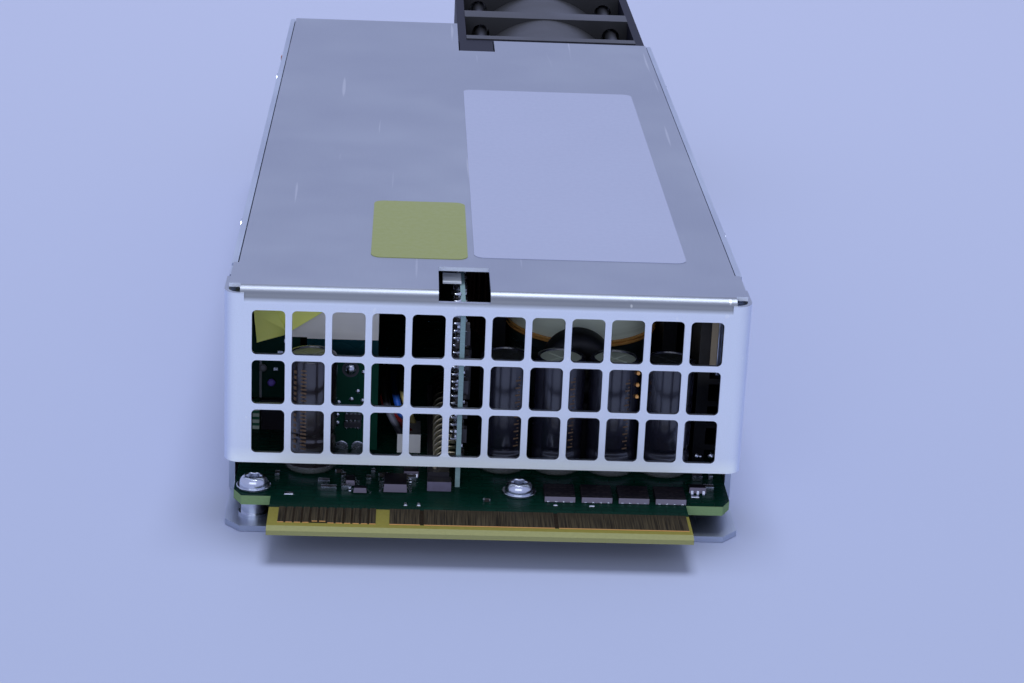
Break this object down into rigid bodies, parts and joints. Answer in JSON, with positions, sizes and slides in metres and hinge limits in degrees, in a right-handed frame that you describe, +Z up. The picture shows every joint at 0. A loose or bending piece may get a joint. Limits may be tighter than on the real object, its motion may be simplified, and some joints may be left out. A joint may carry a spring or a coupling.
{
  "type": "hot swap server power supply",
  "caption": "Slim hot swap power supply with a perforated card edge end, mains inlet, contra-rotating fans, pull handle and sprung release latch.",
  "frame": {"origin": "on the underside of the case, half way across its width, in the plane of the outer face of the perforated front", "axes": "+X to the right when looking at the card edge end, +Y toward the mains end, +Z up"},
  "size_m": [0.0873, 0.265, 0.04],
  "materials": {
    "case_steel": "zinc plated, satin",
    "board_green": "solder mask",
    "contact_gold": "gold plated",
    "bright_steel": "bright",
    "inlet_metal": "nickel plated",
    "sleeve_navy": "shrink sleeve",
    "black_moulding": "moulded",
    "latch_plastic": "moulded",
    "ferrite": "sintered",
    "tape_pale": "tape",
    "coil_green": "moulded",
    "capacitor_yellow": "moulded",
    "aluminium": "extruded",
    "light_clear": "clear",
    "fuse_ceramic": "plain",
    "socket_pale": "moulded",
    "nylon_white": "moulded",
    "wire_blue": "sleeve",
    "wire_yellow": "sleeve",
    "wire_grey": "sleeve",
    "wire_red": "sleeve"
  },
  "bodies": {
    "housing": {"auxiliary_coil": "coil_green", "auxiliary_core": "tape_pale", "board_screws": "bright_steel", "board_standoffs": "bright_steel", "boost_choke": "ferrite", "bridge_rectifier": "black_moulding", "bulk_capacitors": "sleeve_navy", "card_chips": "black_moulding", "chassis": "case_steel", "choke_seat": "black_moulding", "control_card": "board_green", "edge_contacts": "contact_gold", "fan_cage": "black_moulding", "fan_frame_inner": "black_moulding", "fan_frame_outer": "black_moulding", "fan_guard": "bright_steel", "fan_screws": "bright_steel", "fuse": "fuse_ceramic", "header_pins": "contact_gold", "inlet_blades": "inlet_metal", "inlet_socket": "black_moulding", "latch_bracket": "case_steel", "latch_pin": "bright_steel", "latch_spring": "bright_steel", "left_capacitor": "sleeve_navy", "light_board": "board_green", "line_filter": "coil_green", "main_board": "board_green", "output_capacitors": "sleeve_navy", "output_choke": "ferrite", "output_heat_sink": "aluminium", "pin_header": "black_moulding", "power_transistors": "black_moulding", "primary_heat_sink": "aluminium", "pull_handle": "black_moulding", "rectifier_transistors": "black_moulding", "relay": "black_moulding", "relay_board": "board_green", "sensing_board": "board_green", "side_screws": "bright_steel", "side_socket": "socket_pale", "status_lights": "light_clear", "suppression_capacitor": "capacitor_yellow", "top_cover": "case_steel", "transformer_bobbin": "tape_pale", "transformer_core": "ferrite", "transistor_leads": "bright_steel", "wire_blue": "wire_blue", "wire_grey": "wire_grey", "wire_plug": "nylon_white", "wire_red": "wire_red", "wire_yellow": "wire_yellow"},
    "inner_fan": {"fan_rotor_inner": "black_moulding"},
    "outer_fan": {"fan_rotor_outer": "black_moulding"},
    "latch": {"release_latch": "latch_plastic"}
  },
  "joints": [
    {"name": "inner_fan_spin", "type": "hinge", "parent": "housing", "child": "inner_fan", "pos_m": [0.01935, 0.203, 0.02], "axis": [0, 1, 0], "continuous": true},
    {"name": "outer_fan_spin", "type": "hinge", "parent": "housing", "child": "outer_fan", "pos_m": [0.01935, 0.231, 0.02], "axis": [0, 1, 0], "continuous": true},
    {"name": "latch_swing", "type": "hinge", "parent": "housing", "child": "latch", "pos_m": [-0.0388, 0.166, 0.0305], "axis": [0, 0, -1], "range_deg": [0, 5], "stiffness_Nm_per_rad": 0.2, "springref_deg": -2.86, "deforming": ["latch_spring"]}
  ]
}
